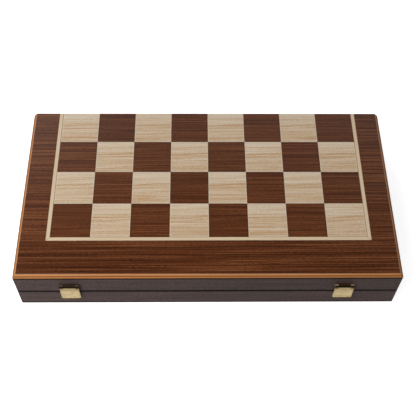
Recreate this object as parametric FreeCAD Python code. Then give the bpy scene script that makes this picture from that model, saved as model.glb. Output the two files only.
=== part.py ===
"""Folding games case: a chess board outside, a backgammon board inside.

The case is two equal wooden trays, closed face to face. A tray is four mitred rails on a bevelled
plywood panel. The panel's outer face carries half a chess board in veneer, and its inner face carries
twelve backgammon points. Two brass butt hinges join the trays at the back, so that the case opens flat,
and two brass flap latches close it at the front.

Frame: the origin is the centre of the closed case's underside, +X to the right, +Y to the hinges, +Z up.
All sizes are in millimetres.
"""

import FreeCAD
import Part
import math
import os

V = FreeCAD.Vector
X_AXIS = V(1, 0, 0)
Y_AXIS = V(0, 1, 0)

# Chess half-board on the outer face of each tray
square = 50.0
columns = 8
rows = 4
hinge_edge_trim = 0.4       # taken off the row that meets the other tray's row
string_width = 5.2          # pale inlay line round the squares
narrow_border = 29.4        # the squares lie a little off the middle, so one side border is narrow
wide_border = 31.8
front_border = 46.5
seam = 0.2                  # glue line between two pieces of veneer

# Panel
veneer = 0.6
ply = 4.0
bevel = 4.5                 # how far the panel's bevel runs in from the side of the case

# Rails
rail_thickness = 15.0
half_height = 37.6
closing_gap = 0.8           # between the closed trays' rims
rim_ease = 0.8              # chamfer that eases the edges of the rims
corner_round = 1.2          # softened upright corners

# Backgammon points on the inner face of each tray
points_per_end = 6
point_length = 190.0
point_gap = 2.0             # ground that shows between two point bases, and at least between facing tips

# Fits
running_clearance = 0.05    # a pin in its knuckle, a screw head in its countersink
swing_clearance = 0.3       # a piece that turns past another one
pick_reach = 0.01           # how near to its place an edge is when it is picked for rounding

# Butt hinges, let into the rims of the back rails
hinge_offset = 150.0        # from the middle of the case to the middle of a hinge
hinge_length = 50.0
hinge_leaf_reach = 12.0     # from the pin to the leaf's far edge
hinge_leaf = 1.2            # sheet thickness
hinge_pin_radius = 1.25
hinge_knuckles = 3
hinge_knuckle_gap = 0.25
hinge_standoff = 0.25       # from the back of the case to the pin's axis
hinge_screws_per_leaf = 2
hinge_screw_spacing = 30.0
hinge_screw_setback = 7.5   # from the pin to the row of screws
hinge_screw_neck_radius = 1.0

# Flap latches on the front rails
left_latch_offset = 172.8   # from the middle of the case to the middle of the latch, fitted by hand
right_latch_offset = 169.9
latch_width = 24.0
latch_sheet = 1.0
latch_pin_radius = 1.3
latch_pin_height = 16.4     # above the closing line
latch_end_knuckle = 4.2     # length of each fixed knuckle
latch_knuckle_gap = 0.25
latch_wood_gap = 0.2        # from the rail to the knuckles
latch_plate_height = 13.0   # fixed plate, from the pin down, behind the flap
latch_plate_notch = 3.0     # opening for the flap's own knuckle, below the pin
latch_flap_reach = 24.4     # from the pin to the end of the straight flap
latch_flap_corner = 2.5
latch_lip_radius = 1.6      # curl of the finger lip, on its outer side
latch_lip_angle = 50.0
latch_edge_round = 0.3
snap_rib_drop = 21.6        # from the pin to the rib pressed into the flap
snap_rib_radius = 1.6
snap_rib_length = 12.0
snap_groove_depth = 0.45    # mark that the pressing leaves on the flap's face
catch_ridge_radius = 1.6
catch_width = 22.0
catch_plate_below = 11.0    # lower edge of the catch plate, under the closing line
catch_plate_above = 1.8     # upper edge of the catch plate, under the closing line
catch_screw_height = 7.0    # catch screws, under the closing line
latch_screw_spacing = 17.0
latch_screw_setback = 8.5   # from the pin down to the fixed plate's screws
latch_screw_head_radius = 1.6
latch_screw_head_height = 0.7

# Places that follow from the sizes above
case_width = columns * square + narrow_border + wide_border + 2 * (string_width + bevel)
case_depth = rows * square - hinge_edge_trim + string_width + front_border + bevel
half_width = case_width / 2
front = -case_depth / 2
back = case_depth / 2
panel_top = veneer + ply
field_top = panel_top + veneer
closing_line = half_height + closing_gap / 2
string_left = -half_width + bevel + narrow_border
string_right = half_width - bevel - wide_border
field_left = string_left + string_width
field_right = string_right - string_width
field_front = back + hinge_edge_trim - rows * square
string_front = field_front - string_width

hinge_axis_y = back + hinge_standoff
hinge_bore_radius = hinge_pin_radius + running_clearance
hinge_knuckle_radius = hinge_bore_radius + hinge_leaf
hinge_notch_radius = hinge_knuckle_radius + swing_clearance
hinge_screw_head_radius = hinge_screw_neck_radius + hinge_leaf

latch_bore_radius = latch_pin_radius + running_clearance
latch_knuckle_radius = latch_bore_radius + latch_sheet
latch_axis_y = front - latch_wood_gap - latch_knuckle_radius
latch_axis_z = closing_line + latch_pin_height
latch_own_knuckle = latch_width - 2 * (latch_end_knuckle + latch_knuckle_gap)
snap_rib_span = (-snap_rib_length / 2, snap_rib_length / 2)


def block(x_span, y_span, z_span):
    """A box between three pairs of limits."""
    sizes = [high - low for low, high in (x_span, y_span, z_span)]
    return Part.makeBox(*sizes, V(x_span[0], y_span[0], z_span[0]))


def prism(outline, z_low, z_high):
    """A flat outline of (x, y) corners, raised from z_low to z_high."""
    corners = [V(x, y, z_low) for x, y in outline]
    face = Part.Face(Part.makePolygon(corners + corners[:1]))
    return face.extrude(V(0, 0, z_high - z_low))


def rod(radius, x_span, y, z):
    """A round bar along X."""
    return Part.makeCylinder(radius, x_span[1] - x_span[0], V(x_span[0], y, z), X_AXIS)


def turned_over(shape):
    """The same piece on the other tray: a half turn about the line through the closing gap, along Y."""
    turned = shape.copy()
    turned.rotate(V(0, 0, closing_line), Y_AXIS, 180)
    return turned


def turned_name(name):
    """The name of a piece on a tray that is turned over, which swaps left and right."""
    side, _, rest = name.partition("_")
    swapped = {"left": "right", "right": "left"}
    return f"{swapped[side]}_{rest}" if side in swapped else name


def moved(shape, x):
    """A copy, moved along X."""
    copy = shape.copy()
    copy.translate(V(x, 0, 0))
    return copy


# Wooden tray

def tray_envelope():
    """The outside of one tray: a block with bevelled panel edges, round corners and a soft rim."""
    body = block((-half_width, half_width), (front, back), (0, half_height))
    side_bevel = [(half_width, 0), (half_width - bevel, 0), (half_width, panel_top)]
    front_bevel = [(front, 0), (front + bevel, 0), (front, panel_top)]
    for sign in (-1, 1):
        corners = [V(sign * x, front, z) for x, z in side_bevel]
        wedge = Part.Face(Part.makePolygon(corners + corners[:1]))
        body = body.cut(wedge.extrude(V(0, case_depth, 0)))
    corners = [V(-half_width, y, z) for y, z in front_bevel]
    wedge = Part.Face(Part.makePolygon(corners + corners[:1]))
    body = body.cut(wedge.extrude(V(case_width, 0, 0)))
    for x_sign in (-1, 1):
        for y_sign in (-1, 1):
            body = body.cut(corner_waste(x_sign, y_sign))
    rim = [edge for edge in body.Edges if edge.BoundBox.ZMin > half_height - pick_reach]
    return body.makeChamfer(rim_ease, rim)


def corner_waste(x_sign, y_sign):
    """What rounding takes off one upright corner of the case."""
    inner = V(x_sign * (half_width - corner_round), y_sign * (back - corner_round), 0)
    outer = V(x_sign * half_width, y_sign * back, 0)
    x_span = sorted((inner.x, outer.x))
    y_span = sorted((inner.y, outer.y))
    waste = block(x_span, y_span, (0, half_height))
    return waste.cut(Part.makeCylinder(corner_round, half_height, inner))


def rail(name):
    """One mitred rail, as a raised outline, with its inner rim edge eased."""
    inner_x = half_width - rail_thickness
    inner_front = front + rail_thickness
    inner_back = back - rail_thickness
    outlines = {
        "front": [(-half_width, front), (half_width, front), (inner_x, inner_front), (-inner_x, inner_front)],
        "back": [(half_width, back), (-half_width, back), (-inner_x, inner_back), (inner_x, inner_back)],
        "left": [(-half_width, back), (-half_width, front), (-inner_x, inner_front), (-inner_x, inner_back)],
        "right": [(half_width, front), (half_width, back), (inner_x, inner_back), (inner_x, inner_front)],
    }
    outline = outlines[name]
    bar = prism(outline, panel_top, half_height)
    start, end = (V(x, y, half_height) for x, y in outline[2:])
    middle = (start + end) / 2
    inner_edge = [edge for edge in bar.Edges if edge.CenterOfMass.isEqual(middle, pick_reach)]
    return bar.makeChamfer(rim_ease, inner_edge)


def tray_wood():
    """The plywood panel and the four rails of a tray, before any fitting is let in."""
    envelope = tray_envelope()
    panel = block((-half_width, half_width), (front, back), (veneer, panel_top))
    wood = {"panel": panel.common(envelope)}
    for name in ("front", "back", "left", "right"):
        wood[name + "_rail"] = rail(name).common(envelope)
    return wood, envelope


# Veneers

def border_veneers(envelope):
    """Dark border: a strip along each side and one across the front, bevelled with the panel."""
    cut = seam / 2
    side_span = (string_front + cut, back)
    spans = {
        "left_border": ((-half_width, string_left - cut), side_span),
        "right_border": ((string_right + cut, half_width), side_span),
        "front_border": ((-half_width, half_width), (front, string_front - cut)),
    }
    return {name: block(*span, (0, veneer)).common(envelope) for name, span in spans.items()}


def string_veneers():
    """Pale inlay line on three sides of the squares, mitred at the two corners."""
    cut = seam / 2
    left = (string_left + cut, field_left - cut)
    right = (string_right - cut, field_right + cut)
    low = (string_front + cut, field_front - cut)
    outlines = {
        "left_string": [(left[0], back), (left[0], low[0] + cut),
                        (left[1], low[1] + cut), (left[1], back)],
        "right_string": [(right[1], back), (right[1], low[1] + cut),
                         (right[0], low[0] + cut), (right[0], back)],
        "front_string": [(left[0] + cut, low[0]), (right[0] - cut, low[0]),
                         (right[1] - cut, low[1]), (left[1] + cut, low[1])],
    }
    return {name: prism(outline, 0, veneer) for name, outline in outlines.items()}


def square_veneers():
    """The half-board's squares, pale and dark, each a loose leaf of veneer. Row 0 is at the hinge edge."""
    leaves = {"light_squares": [], "dark_squares": []}
    for row in range(rows):
        y_high = back + hinge_edge_trim - row * square
        y_span = (y_high - square + seam / 2, min(y_high - seam / 2, back))
        for column in range(columns):
            x_low = field_left + column * square
            x_span = (x_low + seam / 2, x_low + square - seam / 2)
            name = "light_squares" if (row + column) % 2 else "dark_squares"
            leaves[name].append(block(x_span, y_span, (0, veneer)))
    return {name: Part.makeCompound(pieces) for name, pieces in leaves.items()}


def point_veneers():
    """Twelve long points, six from each end of the tray, and the ground that they are let into."""
    end_x = half_width - rail_thickness - seam
    ground_front = front + rail_thickness + seam
    ground_back = back - rail_thickness - seam
    pitch = (ground_back - ground_front) / points_per_end
    half_base = (pitch - point_gap) / 2
    ground = block((-end_x, end_x), (ground_front, ground_back), (panel_top, field_top))
    points = {"light_points": [], "dark_points": []}
    for end_sign in (-1, 1):
        for index in range(points_per_end):
            middle = ground_back - (index + 0.5) * pitch
            ground = ground.cut(point_leaf(end_sign, end_x, middle, half_base, 0))
            light = (index % 2 == 0) == (end_sign < 0)
            name = "light_points" if light else "dark_points"
            points[name].append(point_leaf(end_sign, end_x, middle, half_base, seam))
    veneers = {name: Part.makeCompound(pieces) for name, pieces in points.items()}
    veneers["field_ground"] = ground.Solids[0]
    return veneers


def point_leaf(end_sign, end_x, middle, half_base, inset):
    """A long triangle with its base on one end of the field, drawn in from its two long sides by inset.

    It keeps to its own half of the field, so that facing points never meet.
    """
    slope = math.hypot(point_length, half_base)
    base = half_base - inset * slope / point_length
    length = point_length * base / half_base
    base_x = end_sign * end_x
    tip_x = end_sign * (end_x - length)
    leaf = prism([(base_x, middle - base), (tip_x, middle), (base_x, middle + base)], panel_top, field_top)
    own_half = sorted((end_sign * (point_gap / 2 + inset), base_x))
    return leaf.common(block(own_half, (middle - base, middle + base), (panel_top, field_top)))


# Fasteners

def countersunk_head(clearance):
    """A flat screw head, as deep as the leaf that it holds, level with z = 0 and larger by a clearance."""
    neck = hinge_screw_neck_radius + clearance
    rim = hinge_screw_head_radius + clearance
    return Part.makeCone(neck, rim, hinge_leaf, V(0, 0, -hinge_leaf))


def low_head():
    """A low round screw head that stands on z = 0."""
    return Part.makeCylinder(latch_screw_head_radius, latch_screw_head_height)


# Butt hinges

def hinge_screw_places():
    """Places of one leaf's screws along X, from the leaf's middle."""
    first = -hinge_screw_spacing * (hinge_screws_per_leaf - 1) / 2
    return [first + index * hinge_screw_spacing for index in range(hinge_screws_per_leaf)]


def hinge_knuckle_spans(parity):
    """The spans along X of the knuckles that one leaf owns: the even ones or the odd ones."""
    pitch = hinge_length / hinge_knuckles
    start = -hinge_length / 2
    margin = hinge_knuckle_gap / 2
    return [
        (start + index * pitch + margin, start + (index + 1) * pitch - margin)
        for index in range(hinge_knuckles)
        if index % 2 == parity
    ]


def hinge_leaf_plate(parity):
    """A lower leaf, level with the rim and centred on x = 0, with its knuckles and countersunk holes."""
    half_length = hinge_length / 2
    y_far = hinge_axis_y - hinge_leaf_reach
    z_span = (half_height - hinge_leaf, half_height)
    leaf = block((-half_length, half_length), (y_far, hinge_axis_y), z_span)
    pitch = hinge_length / hinge_knuckles
    for span in hinge_knuckle_spans(1 - parity):
        middle = (span[0] + span[1]) / 2
        room = (max(middle - pitch / 2 - hinge_knuckle_gap / 2, -half_length),
                min(middle + pitch / 2 + hinge_knuckle_gap / 2, half_length))
        leaf = leaf.cut(rod(hinge_notch_radius, room, hinge_axis_y, closing_line))
    for span in hinge_knuckle_spans(parity):
        leaf = leaf.fuse(rod(hinge_knuckle_radius, span, hinge_axis_y, closing_line))
    leaf = leaf.cut(rod(hinge_bore_radius, (-half_length, half_length), hinge_axis_y, closing_line))
    for hole in hinge_screws(running_clearance):
        leaf = leaf.cut(hole)
    return leaf.removeSplitter()


def hinge_screws(clearance=0):
    """One leaf's screw heads, level with the rim."""
    placed = []
    for x in hinge_screw_places():
        head = countersunk_head(clearance)
        head.translate(V(x, hinge_axis_y - hinge_screw_setback, half_height))
        placed.append(head)
    return placed


def hinge_mortise():
    """What is cut from a back rail for one hinge: the leaf's bed and room for the knuckles."""
    half_length = hinge_length / 2 + running_clearance
    y_span = (hinge_axis_y - hinge_leaf_reach - running_clearance, back)
    waste = block((-half_length, half_length), y_span, (half_height - hinge_leaf, half_height))
    room = hinge_length / 2 + hinge_knuckle_gap
    return waste.fuse(rod(hinge_notch_radius, (-room, room), hinge_axis_y, closing_line))


def hinge_pin():
    """The pin of one hinge, as long as the row of knuckles."""
    half_length = (hinge_length - hinge_knuckle_gap) / 2
    return rod(hinge_pin_radius, (-half_length, half_length), hinge_axis_y, closing_line)


# Flap latches

def latch_point(out, up):
    """A point of the latch's section, measured out from and up from its pin."""
    return V(0, latch_axis_y - out, latch_axis_z + up)


def flap_section():
    """The flap's bent sheet from the side: a straight leg, then a lip that curls outwards."""
    outer = latch_knuckle_radius
    inner = outer - latch_sheet
    top = -(latch_knuckle_radius + swing_clearance)
    bottom = -latch_flap_reach
    turn = math.radians(latch_lip_angle)

    def on_lip(radius, angle):
        out = outer + latch_lip_radius - radius * math.cos(angle)
        return latch_point(out, bottom - radius * math.sin(angle))

    inner_radius = latch_lip_radius + latch_sheet
    lip_start = latch_point(outer, bottom)
    edges = [
        Part.LineSegment(latch_point(inner, top), latch_point(inner, bottom)),
        Part.Arc(latch_point(inner, bottom), on_lip(inner_radius, turn / 2), on_lip(inner_radius, turn)),
        Part.LineSegment(on_lip(inner_radius, turn), on_lip(latch_lip_radius, turn)),
        Part.Arc(on_lip(latch_lip_radius, turn), on_lip(latch_lip_radius, turn / 2), lip_start),
        Part.LineSegment(lip_start, latch_point(outer, top)),
        Part.LineSegment(latch_point(outer, top), latch_point(inner, top)),
    ]
    return Part.Face(Part.Wire([edge.toShape() for edge in edges]))


def flap_sheet():
    """The flap's sheet: its section drawn across the latch, with round lower corners and soft side edges."""
    half = latch_width / 2
    sheet = flap_section()
    sheet.translate(V(-half, 0, 0))
    sheet = sheet.extrude(V(latch_width, 0, 0))
    side_edges = [
        edge for edge in sheet.Edges
        if edge.BoundBox.XLength < pick_reach
        and edge.BoundBox.YMax < latch_axis_y - latch_knuckle_radius + pick_reach
        and edge.BoundBox.ZLength > latch_sheet
    ]
    sheet = sheet.makeFillet(latch_edge_round, side_edges)
    lip_drop = (latch_lip_radius + latch_sheet) * math.sin(math.radians(latch_lip_angle))
    low = latch_axis_z - latch_flap_reach - lip_drop
    depth = 2 * (latch_knuckle_radius + latch_lip_radius + latch_sheet)
    y_far = latch_axis_y - depth
    outline = block((-half, half), (y_far, latch_axis_y), (low, latch_axis_z))
    corners = [
        edge for edge in outline.Edges
        if edge.BoundBox.ZMax < low + pick_reach and edge.BoundBox.YLength > depth / 2
    ]
    return sheet.common(outline.makeFillet(latch_flap_corner, corners))


def latch_flap():
    """The swinging flap at x = 0: sheet, its own rolled knuckle, and the rib that snaps under the catch."""
    half_knuckle = latch_own_knuckle / 2
    knuckle_span = (-half_knuckle, half_knuckle)
    strap_y = (latch_axis_y - latch_knuckle_radius, latch_axis_y - latch_knuckle_radius + latch_sheet)
    strap_z = (latch_axis_z - latch_knuckle_radius - swing_clearance, latch_axis_z)
    flap = flap_sheet()
    flap = flap.fuse(block(knuckle_span, strap_y, strap_z))
    flap = flap.fuse(rod(latch_knuckle_radius, knuckle_span, latch_axis_y, latch_axis_z))
    inner_face = latch_axis_y - latch_bore_radius
    rib_z = latch_axis_z - snap_rib_drop
    rib = rod(snap_rib_radius, snap_rib_span, inner_face, rib_z)
    rib_side = block((-latch_width, latch_width), (inner_face - latch_sheet / 2, latch_axis_y + latch_width),
                     (latch_axis_z - latch_flap_reach, latch_axis_z))
    flap = flap.fuse(rib.common(rib_side))
    groove_y = inner_face - latch_sheet - snap_rib_radius + snap_groove_depth
    flap = flap.cut(rod(snap_rib_radius, snap_rib_span, groove_y, rib_z))
    flap = flap.cut(rod(latch_bore_radius, knuckle_span, latch_axis_y, latch_axis_z))
    return flap.removeSplitter()


def latch_plate():
    """The fixed plate behind the flap: a knuckle at each end, and a notch for the flap's own knuckle."""
    half = latch_width / 2
    y_span = (front - latch_sheet, front)
    plate = block((-half, half), y_span, (latch_axis_z - latch_plate_height, latch_axis_z))
    half_notch = latch_own_knuckle / 2 + latch_knuckle_gap
    notch = block((-half_notch, half_notch), y_span, (latch_axis_z - latch_plate_notch, latch_axis_z))
    plate = plate.cut(notch)
    for span in ((-half, -half + latch_end_knuckle), (half - latch_end_knuckle, half)):
        plate = plate.fuse(rod(latch_knuckle_radius, span, latch_axis_y, latch_axis_z))
    plate = plate.cut(rod(latch_bore_radius, (-half, half), latch_axis_y, latch_axis_z))
    return plate.removeSplitter()


def latch_catch():
    """The catch on the lower front rail: a plate with a ridge that the flap's rib snaps under."""
    half = catch_width / 2
    z_span = (closing_line - catch_plate_below, closing_line - catch_plate_above)
    plate = block((-half, half), (front - latch_sheet, front), z_span)
    ridge = rod(catch_ridge_radius, snap_rib_span, front - latch_sheet, catch_ridge_height())
    outside = block((-half, half), (front - latch_width, front), z_span)
    return plate.fuse(ridge.common(outside)).removeSplitter()


def catch_ridge_height():
    """The ridge's height, one swing clearance above the closed flap's rib."""
    across = (front - latch_sheet) - (latch_axis_y - latch_bore_radius)
    apart = snap_rib_radius + catch_ridge_radius + swing_clearance
    return latch_axis_z - snap_rib_drop + math.sqrt(apart ** 2 - across ** 2)


def latch_screws(z):
    """The two screw heads of a latch piece, on its outer face."""
    placed = []
    for sign in (-1, 1):
        head = low_head()
        head.rotate(V(0, 0, 0), X_AXIS, 90)
        head.translate(V(sign * latch_screw_spacing / 2, front - latch_sheet, z))
        placed.append(head)
    return placed


def latch_pin():
    """The pin of one latch, as long as the latch is wide."""
    half = latch_width / 2
    return rod(latch_pin_radius, (-half, half), latch_axis_y, latch_axis_z)


# Assembly

SIDES = {"left": -1, "right": 1}
LATCH_PLACES = {"left": -left_latch_offset, "right": right_latch_offset}


def tray(over):
    """One tray's wood and veneer, with beds for its hinges."""
    wood, envelope = tray_wood()
    for sign in SIDES.values():
        wood["back_rail"] = wood["back_rail"].cut(moved(hinge_mortise(), sign * hinge_offset))
    pieces = {**wood, **border_veneers(envelope), **string_veneers(), **square_veneers(), **point_veneers()}
    if over:
        pieces = {turned_name(name): turned_over(shape) for name, shape in pieces.items()}
    return pieces


def hinges():
    """Both hinges: a leaf on each tray, the pin, and each tray's screws in one group."""
    pieces = {"base_hinge_screws": [], "lid_hinge_screws": []}
    for side, sign in SIDES.items():
        x = sign * hinge_offset
        pieces[f"{side}_hinge_base_leaf"] = moved(hinge_leaf_plate(0), x)
        pieces[f"{side}_hinge_lid_leaf"] = turned_over(moved(hinge_leaf_plate(1), -x))
        pieces[f"{side}_hinge_pin"] = moved(hinge_pin(), x)
        for screw in hinge_screws():
            pieces["base_hinge_screws"].append(moved(screw, x))
            pieces["lid_hinge_screws"].append(turned_over(moved(screw, -x)))
    return pieces


def latches():
    """Both latches: plate, pin and flap on the lid, catch on the base, each tray's screws in one group."""
    pieces = {"base_latch_screws": [], "lid_latch_screws": []}
    for side, x in LATCH_PLACES.items():
        pieces[f"{side}_latch_plate"] = moved(latch_plate(), x)
        pieces[f"{side}_latch_flap"] = moved(latch_flap(), x)
        pieces[f"{side}_latch_pin"] = moved(latch_pin(), x)
        pieces[f"{side}_latch_catch"] = moved(latch_catch(), x)
        for screw in latch_screws(closing_line - catch_screw_height):
            pieces["base_latch_screws"].append(moved(screw, x))
        for screw in latch_screws(latch_axis_z - latch_screw_setback):
            pieces["lid_latch_screws"].append(moved(screw, x))
    return pieces


def main():
    os.makedirs("parts", exist_ok=True)
    nodes = {f"base_{name}": shape for name, shape in tray(over=False).items()}
    nodes.update({f"lid_{name}": shape for name, shape in tray(over=True).items()})
    nodes.update(hinges())
    nodes.update(latches())
    for name, shape in nodes.items():
        if isinstance(shape, list):
            shape = Part.makeCompound(shape)
        shape.exportStep(f"parts/{name}.step")
    print(f"{len(nodes)} nodes, case {case_width:.1f} x {case_depth:.1f} x {2 * closing_line:.1f} mm")


main()
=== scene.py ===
# %% [markdown]
# # A folding chess and backgammon case
#
# The object is a closed wooden case. Its lid shows half of a chess board in pale and dark veneer, with a
# pale string round it, a dark border and a bevelled plywood edge. Two brass flap latches hold it shut.
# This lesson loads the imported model, keeps its solids, and gives each of them a finish made of nodes.
# Only the screw heads are new meshes, because a slot is too fine for the solid model.

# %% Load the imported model
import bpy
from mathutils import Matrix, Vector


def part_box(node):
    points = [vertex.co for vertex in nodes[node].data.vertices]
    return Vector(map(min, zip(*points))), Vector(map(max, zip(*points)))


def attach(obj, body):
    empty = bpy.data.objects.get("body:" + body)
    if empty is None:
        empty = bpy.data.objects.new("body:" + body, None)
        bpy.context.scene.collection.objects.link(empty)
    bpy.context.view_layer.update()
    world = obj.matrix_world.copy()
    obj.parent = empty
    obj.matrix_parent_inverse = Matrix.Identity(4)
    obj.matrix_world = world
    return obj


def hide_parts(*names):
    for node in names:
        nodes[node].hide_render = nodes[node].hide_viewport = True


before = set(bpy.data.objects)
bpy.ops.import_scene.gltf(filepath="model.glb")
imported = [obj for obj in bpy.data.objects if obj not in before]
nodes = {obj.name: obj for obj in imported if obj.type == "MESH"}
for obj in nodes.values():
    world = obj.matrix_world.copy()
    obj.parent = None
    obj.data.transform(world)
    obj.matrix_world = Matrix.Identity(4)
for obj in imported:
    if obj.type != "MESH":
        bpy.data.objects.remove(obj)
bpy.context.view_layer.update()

import math

import bmesh
import bpy
import numpy as np
from mathutils import Matrix, Vector

# %% [markdown]
# ## Measures
#
# The finishes have to know where a square starts and how thick the case is. These values could be typed
# in, but then they would go wrong when the model changes. So they are read from the boxes of the solids,
# and only the width of a glue line and the numbers of squares and points are written here.

# %% Measures that the finishes need
glue_line = 0.0002
columns = 8
points_per_end = 6

squares_low, squares_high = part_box("lid_light_squares")
square = (squares_high.x - squares_low.x + glue_line) / columns
field_corner = Vector((squares_low.x - glue_line / 2, squares_low.y - glue_line / 2, 0))
case_top = squares_high.z
closing_line = case_top / 2
veneer = squares_high.z - squares_low.z
panel_low, panel_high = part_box("base_panel")
ply = panel_high.z - panel_low.z
ground_low, ground_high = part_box("base_field_ground")
point_pitch = (ground_high.y - ground_low.y) / points_per_end
print(f"square {square * 1000:.1f} mm, case {case_top * 1000:.1f} mm high, ply {ply * 1000:.1f} mm")

# %% [markdown]
# ## Camera
#
# The camera stands in front of the case and looks down on it. Its place could be dragged by eye. It is
# written as a surveyor would give it instead: a point on the lid that it aims at, a distance, a height
# angle, a small turn to the side and a small roll. The three axes of the camera follow from those.

# %% Camera at the photograph's angle
image_width = 416
focal_pixels = 781.8
aim = field_corner + Vector((0.19903, 0.04309, case_top))
distance = 1.0088
elevation = math.radians(57.402)
turn = math.radians(-1.942)
roll = math.radians(1.570)

camera_data = bpy.data.cameras.new("camera")
camera_data.sensor_width = 36.0
camera_data.lens = camera_data.sensor_width * focal_pixels / image_width
camera = bpy.data.objects.new("camera", camera_data)
bpy.context.scene.collection.objects.link(camera)

backward = Vector((math.sin(turn) * math.cos(elevation),
                   -math.cos(turn) * math.cos(elevation),
                   math.sin(elevation)))
level_right = Vector((math.cos(turn), math.sin(turn), 0))
level_up = backward.cross(level_right)
right = math.cos(roll) * level_right + math.sin(roll) * level_up
up = math.cos(roll) * level_up - math.sin(roll) * level_right
camera.matrix_world = (Matrix.Translation(aim + distance * backward)
                       @ Matrix((right, up, backward)).transposed().to_4x4())
bpy.context.scene.camera = camera
bpy.context.scene.view_settings.view_transform = "Standard"
print(f"lens {camera_data.lens:.1f} mm, camera at {[round(c, 3) for c in camera.location]}")

# %% [markdown]
# ## Node helpers
#
# A finish is a tree of nodes, and each node takes several lines to place, set and wire. They could be
# written out in every finish, but the pattern would be lost among them. So small helpers do it: they add
# a node, do a sum, stretch a value, lay one colour over another, or make and place a group.

# %% Helpers for values
def wire(tree, socket, value):
    """Wires a socket to another one, or sets any other value on it."""
    if isinstance(value, bpy.types.NodeSocket):
        tree.links.new(value, socket)
    else:
        socket.default_value = value


def add(tree, kind, inputs=None, **settings):
    """Adds one node of that kind, makes its settings, and wires or sets the inputs that are given."""
    made = tree.nodes.new("ShaderNode" + kind)
    for name, value in settings.items():
        setattr(made, name, value)
    for key, value in (inputs or {}).items():
        wire(tree, made.inputs[key], value)
    return made


def sum_of(tree, operation, *values, clamp=False):
    """The result of one Math node on one to three values or sockets."""
    made = add(tree, "Math", dict(enumerate(values)), operation=operation, use_clamp=clamp)
    return made.outputs[0]


def vector_sum(tree, operation, *values):
    """The result of one Vector Math node on one or two vectors or sockets."""
    return add(tree, "VectorMath", dict(enumerate(values)), operation=operation).outputs[0]


def spread(tree, value, low, high, to_low=0.0, to_high=1.0):
    """Value, stretched so that low becomes to_low and high becomes to_high, and kept between them."""
    inputs = {"Value": value, "From Min": low, "From Max": high, "To Min": to_low, "To Max": to_high}
    return add(tree, "MapRange", inputs).outputs["Result"]


print("helpers for values ready")

# %% Helpers for colours
# A Mix node keeps its colour sockets at these places, behind those for numbers and vectors.
mix_share, mix_below, mix_above, mix_result = 0, 6, 7, 2


def lay_over(tree, share, below, above):
    """One colour laid over another, by a share from 0 to 1."""
    inputs = {mix_share: share, mix_below: below, mix_above: above}
    return add(tree, "Mix", inputs, data_type="RGBA").outputs[mix_result]


def lay_where(tree, mask, strength, below, above):
    """One colour laid over another where a mask is, the mask times a strength."""
    return lay_over(tree, sum_of(tree, "MULTIPLY", mask, strength), below, above)


def ramp(tree, value, stops):
    """A colour ramp with stops of (place, colour)."""
    made = add(tree, "ValToRGB", {"Fac": value})
    elements = made.color_ramp.elements
    for index, (place, colour) in enumerate(stops):
        element = elements[index] if index < 2 else elements.new(place)
        element.position = place
        element.color = colour
    return made.outputs["Color"]


def grey(value):
    """A grey colour of that brightness."""
    return (value, value, value, 1.0)


print("helpers for colours ready")

# %% Helpers for groups
def new_group(name, inputs, outputs):
    """An empty shader node group with named sockets, as (tree, its inputs, its output node)."""
    tree = bpy.data.node_groups.new(name, "ShaderNodeTree")
    for socket, kind, value in inputs:
        made = tree.interface.new_socket(socket, in_out="INPUT", socket_type="NodeSocket" + kind)
        if value is not None:
            made.default_value = value
    for socket, kind in outputs:
        tree.interface.new_socket(socket, in_out="OUTPUT", socket_type="NodeSocket" + kind)
    entry = tree.nodes.new("NodeGroupInput")
    return tree, entry.outputs, tree.nodes.new("NodeGroupOutput")


def wired_group(tree, group, inputs):
    """A group node with its inputs wired or set, as its outputs."""
    return add(tree, "Group", inputs, node_tree=group).outputs


print("helpers for groups ready")

# %% [markdown]
# ## Wood grain, once for every wood
#
# All woods on the case show broad bands along the grain, fine fibres between them, short flecks and dark
# pores. A photograph of veneer would do it, but this case uses no pictures. Noise that is stretched along
# the grain gives the same lines at any size, so one node group makes the four patterns, and each wood
# sets its own lengths and widths in metres.

# %% Group: wood grain
# Each pattern has its fineness along and across the grain, its detail, and the range of noise that it uses.
grain_patterns = {
    "Bands": (0.5, 0.5, 2.0, 0.28, 0.72),
    "Fibres": (0.6, 3.4, 2.0, 0.28, 0.72),
    "Flecks": (28.0, 5.0, 1.0, 0.28, 0.72),
    "Pores": (5.0, 9.0, 0.0, 0.62, 0.76),
}
drift_width = 8.0


def make_grain_group():
    """Stretched noise: the position, drifted sideways a little, divided by a streak's length and width."""
    tree, given, out = new_group(
        "wood grain",
        [("Position", "Vector", None), ("Seed", "Float", 0.0), ("Length", "Float", 0.09),
         ("Width", "Float", 0.004), ("Drift", "Float", 0.002)],
        [(pattern, "Float") for pattern in grain_patterns])

    def streak(width):
        return add(tree, "CombineXYZ", {"X": given["Length"], "Y": width, "Z": width}).outputs[0]

    def noise(place, detail):
        made = add(tree, "TexNoise", {"Vector": place, "W": given["Seed"], "Scale": 1.0, "Detail": detail},
                   noise_dimensions="4D")
        return made.outputs[0]

    slow = streak(sum_of(tree, "MULTIPLY", given["Width"], drift_width))
    slow_noise = noise(vector_sum(tree, "DIVIDE", given["Position"], slow), detail=1.0)
    drift = sum_of(tree, "MULTIPLY", sum_of(tree, "SUBTRACT", slow_noise, 0.5), given["Drift"])
    sideways = add(tree, "CombineXYZ", {"Y": drift, "Z": drift}).outputs[0]
    drifted = vector_sum(tree, "ADD", given["Position"], sideways)
    place = vector_sum(tree, "DIVIDE", drifted, streak(given["Width"]))
    for pattern, (along, across, detail, low, high) in grain_patterns.items():
        stretched = vector_sum(tree, "MULTIPLY", place, (along, across, across))
        tree.links.new(spread(tree, noise(stretched, detail), low, high), out.inputs[pattern])
    return tree


wood_grain = make_grain_group()
print("group:", wood_grain.name)

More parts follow.
